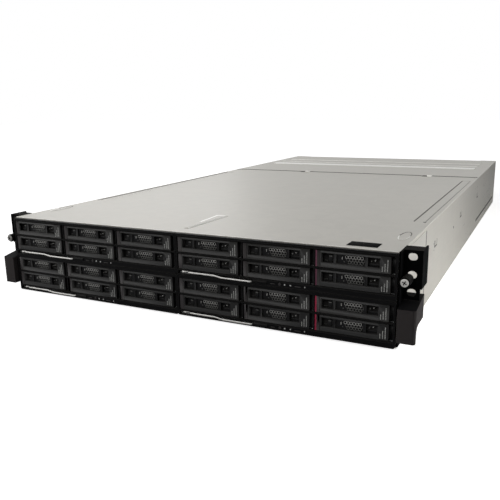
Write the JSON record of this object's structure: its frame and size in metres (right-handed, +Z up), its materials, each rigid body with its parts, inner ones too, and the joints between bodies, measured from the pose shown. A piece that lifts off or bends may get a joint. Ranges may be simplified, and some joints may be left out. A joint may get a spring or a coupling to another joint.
{
  "type": "multi-node rack server enclosure",
  "caption": "Flat rack server enclosure: half-width compute nodes draw out at the front behind rows of small drives, with slotted rack ears, and fans and power supplies behind.",
  "frame": {"origin": "under the middle of the whole object, on the plane of the chassis underside", "axes": "+X to the right seen from the front, +Y from the drive fronts to the rear, +Z up"},
  "size_m": [0.4826, 0.8928, 0.0878],
  "materials": {
    "galvanised": "galvanised sheet with a soft spangle",
    "ear_black": "black powder coat",
    "moulded_black": "fine moulded grain",
    "drive_black": "black moulded front on a cased disk",
    "tray_zinc": "zinc plated sheet",
    "board_green": "circuit boards with sinks and sockets",
    "lever_bright": "bright polished steel",
    "button_dark": "small smooth cap",
    "fan_black": "glass-filled plastic",
    "supply_metal": "plated case"
  },
  "bodies": {
    "chassis": {"chassis_shell": "galvanised", "front_cover": "galvanised", "left_ear": "ear_black", "right_ear": "ear_black", "left_ear_housing": "moulded_black", "right_ear_housing": "moulded_black", "midplane": "board_green", "fan_housings": "fan_black"},
    "rear_cover": {"rear_cover": "galvanised"},
    "psu_1": {"psu_1": "supply_metal"},
    "psu_2": {"psu_2": "supply_metal"},
    "io_cage": {"io_cage": "galvanised"},
    "node_1": {"node_1_tray": "tray_zinc", "node_1_bezel": "moulded_black", "node_1_electronics": "board_green"},
    "lever_1": {"node_1_lever": "lever_bright"},
    "power_button_1": {"node_1_power_button": "button_dark"},
    "fan_1": {"fan_rotor_1": "fan_black"},
    "drive_1_1": {"drive_1_1": "drive_black"},
    "drive_1_2": {"drive_1_2": "drive_black"},
    "drive_1_3": {"drive_1_3": "drive_black"},
    "drive_1_4": {"drive_1_4": "drive_black"},
    "drive_1_5": {"drive_1_5": "drive_black"},
    "drive_1_6": {"drive_1_6": "drive_black"},
    "node_2": {"node_2_tray": "tray_zinc", "node_2_bezel": "moulded_black", "node_2_electronics": "board_green"},
    "lever_2": {"node_2_lever": "lever_bright"},
    "power_button_2": {"node_2_power_button": "button_dark"},
    "fan_2": {"fan_rotor_2": "fan_black"},
    "drive_2_1": {"drive_2_1": "drive_black"},
    "drive_2_2": {"drive_2_2": "drive_black"},
    "drive_2_3": {"drive_2_3": "drive_black"},
    "drive_2_4": {"drive_2_4": "drive_black"},
    "drive_2_5": {"drive_2_5": "drive_black"},
    "drive_2_6": {"drive_2_6": "drive_black"},
    "node_3": {"node_3_tray": "tray_zinc", "node_3_bezel": "moulded_black", "node_3_electronics": "board_green"},
    "lever_3": {"node_3_lever": "lever_bright"},
    "power_button_3": {"node_3_power_button": "button_dark"},
    "fan_3": {"fan_rotor_3": "fan_black"},
    "drive_3_1": {"drive_3_1": "drive_black"},
    "drive_3_2": {"drive_3_2": "drive_black"},
    "drive_3_3": {"drive_3_3": "drive_black"},
    "drive_3_4": {"drive_3_4": "drive_black"},
    "drive_3_5": {"drive_3_5": "drive_black"},
    "drive_3_6": {"drive_3_6": "drive_black"},
    "node_4": {"node_4_tray": "tray_zinc", "node_4_bezel": "moulded_black", "node_4_electronics": "board_green"},
    "lever_4": {"node_4_lever": "lever_bright"},
    "power_button_4": {"node_4_power_button": "button_dark"},
    "fan_4": {"fan_rotor_4": "fan_black"},
    "drive_4_1": {"drive_4_1": "drive_black"},
    "drive_4_2": {"drive_4_2": "drive_black"},
    "drive_4_3": {"drive_4_3": "drive_black"},
    "drive_4_4": {"drive_4_4": "drive_black"},
    "drive_4_5": {"drive_4_5": "drive_black"},
    "drive_4_6": {"drive_4_6": "drive_black"}
  },
  "joints": [
    {"name": "node_1_slide", "type": "slide", "parent": "chassis", "child": "node_1", "axis": [0, -1, 0], "range_m": [0, 0.57]},
    {"name": "lever_1_swing", "type": "hinge", "parent": "node_1", "child": "lever_1", "pos_m": [-0.217, -0.43515, 0.0468], "axis": [0, 0, -1], "range_deg": [0, 85]},
    {"name": "power_button_1_press", "type": "slide", "parent": "node_1", "child": "power_button_1", "axis": [0, 1, 0], "range_m": [0, 0.0008], "stiffness_N_per_m": 300, "springref_m": -0.001},
    {"name": "drive_1_1_slide", "type": "slide", "parent": "node_1", "child": "drive_1_1", "axis": [0, -1, 0], "range_m": [0, 0.115]},
    {"name": "rear_cover_lift", "type": "slide", "parent": "chassis", "child": "rear_cover", "axis": [0, 0, 1], "range_m": [0, 0.1]},
    {"name": "psu_1_slide", "type": "slide", "parent": "chassis", "child": "psu_1", "axis": [0, 1, 0], "range_m": [0, 0.21]},
    {"name": "io_cage_slide", "type": "slide", "parent": "chassis", "child": "io_cage", "axis": [0, 1, 0], "range_m": [0, 0.21]},
    {"name": "fan_1_turn", "type": "hinge", "parent": "chassis", "child": "fan_1", "pos_m": [-0.16687, 0.16935, 0.041], "axis": [0, 1, 0], "continuous": true},
    {"name": "lever_2_swing", "type": "hinge", "parent": "node_2", "child": "lever_2", "pos_m": [0.006, -0.43515, 0.0468], "axis": [0, 0, -1], "range_deg": [0, 85]},
    {"name": "node_2_slide", "type": "slide", "parent": "chassis", "child": "node_2", "axis": [0, -1, 0], "range_m": [0, 0.57]},
    {"name": "lever_3_swing", "type": "hinge", "parent": "node_3", "child": "lever_3", "pos_m": [-0.217, -0.43515, 0.0038], "axis": [0, 0, -1], "range_deg": [0, 85]},
    {"name": "node_3_slide", "type": "slide", "parent": "chassis", "child": "node_3", "axis": [0, -1, 0], "range_m": [0, 0.57]},
    {"name": "lever_4_swing", "type": "hinge", "parent": "node_4", "child": "lever_4", "pos_m": [0.006, -0.43515, 0.0038], "axis": [0, 0, -1], "range_deg": [0, 85]},
    {"name": "node_4_slide", "type": "slide", "parent": "chassis", "child": "node_4", "axis": [0, -1, 0], "range_m": [0, 0.57]},
    {"name": "psu_2_slide", "type": "slide", "parent": "chassis", "child": "psu_2", "axis": [0, 1, 0], "range_m": [0, 0.21]},
    {"name": "power_button_2_press", "type": "slide", "parent": "node_2", "child": "power_button_2", "axis": [0, 1, 0], "range_m": [0, 0.0008], "stiffness_N_per_m": 300, "springref_m": -0.001},
    {"name": "power_button_3_press", "type": "slide", "parent": "node_3", "child": "power_button_3", "axis": [0, 1, 0], "range_m": [0, 0.0008], "stiffness_N_per_m": 300, "springref_m": -0.001},
    {"name": "power_button_4_press", "type": "slide", "parent": "node_4", "child": "power_button_4", "axis": [0, 1, 0], "range_m": [0, 0.0008], "stiffness_N_per_m": 300, "springref_m": -0.001},
    {"name": "fan_2_turn", "type": "hinge", "parent": "chassis", "child": "fan_2", "pos_m": [-0.05563, 0.16935, 0.041], "axis": [0, 1, 0], "continuous": true},
    {"name": "fan_3_turn", "type": "hinge", "parent": "chassis", "child": "fan_3", "pos_m": [0.05563, 0.16935, 0.041], "axis": [0, 1, 0], "continuous": true},
    {"name": "fan_4_turn", "type": "hinge", "parent": "chassis", "child": "fan_4", "pos_m": [0.16687, 0.16935, 0.041], "axis": [0, 1, 0], "continuous": true},
    {"name": "drive_1_2_slide", "type": "slide", "parent": "node_1", "child": "drive_1_2", "axis": [0, -1, 0], "range_m": [0, 0.115]},
    {"name": "drive_1_3_slide", "type": "slide", "parent": "node_1", "child": "drive_1_3", "axis": [0, -1, 0], "range_m": [0, 0.115]},
    {"name": "drive_1_4_slide", "type": "slide", "parent": "node_1", "child": "drive_1_4", "axis": [0, -1, 0], "range_m": [0, 0.115]},
    {"name": "drive_1_5_slide", "type": "slide", "parent": "node_1", "child": "drive_1_5", "axis": [0, -1, 0], "range_m": [0, 0.115]},
    {"name": "drive_1_6_slide", "type": "slide", "parent": "node_1", "child": "drive_1_6", "axis": [0, -1, 0], "range_m": [0, 0.115]},
    {"name": "drive_2_1_slide", "type": "slide", "parent": "node_2", "child": "drive_2_1", "axis": [0, -1, 0], "range_m": [0, 0.115]},
    {"name": "drive_2_2_slide", "type": "slide", "parent": "node_2", "child": "drive_2_2", "axis": [0, -1, 0], "range_m": [0, 0.115]},
    {"name": "drive_2_3_slide", "type": "slide", "parent": "node_2", "child": "drive_2_3", "axis": [0, -1, 0], "range_m": [0, 0.115]},
    {"name": "drive_2_4_slide", "type": "slide", "parent": "node_2", "child": "drive_2_4", "axis": [0, -1, 0], "range_m": [0, 0.115]},
    {"name": "drive_2_5_slide", "type": "slide", "parent": "node_2", "child": "drive_2_5", "axis": [0, -1, 0], "range_m": [0, 0.115]},
    {"name": "drive_2_6_slide", "type": "slide", "parent": "node_2", "child": "drive_2_6", "axis": [0, -1, 0], "range_m": [0, 0.115]},
    {"name": "drive_3_1_slide", "type": "slide", "parent": "node_3", "child": "drive_3_1", "axis": [0, -1, 0], "range_m": [0, 0.115]},
    {"name": "drive_3_2_slide", "type": "slide", "parent": "node_3", "child": "drive_3_2", "axis": [0, -1, 0], "range_m": [0, 0.115]},
    {"name": "drive_3_3_slide", "type": "slide", "parent": "node_3", "child": "drive_3_3", "axis": [0, -1, 0], "range_m": [0, 0.115]},
    {"name": "drive_3_4_slide", "type": "slide", "parent": "node_3", "child": "drive_3_4", "axis": [0, -1, 0], "range_m": [0, 0.115]},
    {"name": "drive_3_5_slide", "type": "slide", "parent": "node_3", "child": "drive_3_5", "axis": [0, -1, 0], "range_m": [0, 0.115]},
    {"name": "drive_3_6_slide", "type": "slide", "parent": "node_3", "child": "drive_3_6", "axis": [0, -1, 0], "range_m": [0, 0.115]},
    {"name": "drive_4_1_slide", "type": "slide", "parent": "node_4", "child": "drive_4_1", "axis": [0, -1, 0], "range_m": [0, 0.115]},
    {"name": "drive_4_2_slide", "type": "slide", "parent": "node_4", "child": "drive_4_2", "axis": [0, -1, 0], "range_m": [0, 0.115]},
    {"name": "drive_4_3_slide", "type": "slide", "parent": "node_4", "child": "drive_4_3", "axis": [0, -1, 0], "range_m": [0, 0.115]},
    {"name": "drive_4_4_slide", "type": "slide", "parent": "node_4", "child": "drive_4_4", "axis": [0, -1, 0], "range_m": [0, 0.115]},
    {"name": "drive_4_5_slide", "type": "slide", "parent": "node_4", "child": "drive_4_5", "axis": [0, -1, 0], "range_m": [0, 0.115]},
    {"name": "drive_4_6_slide", "type": "slide", "parent": "node_4", "child": "drive_4_6", "axis": [0, -1, 0], "range_m": [0, 0.115]}
  ]
}
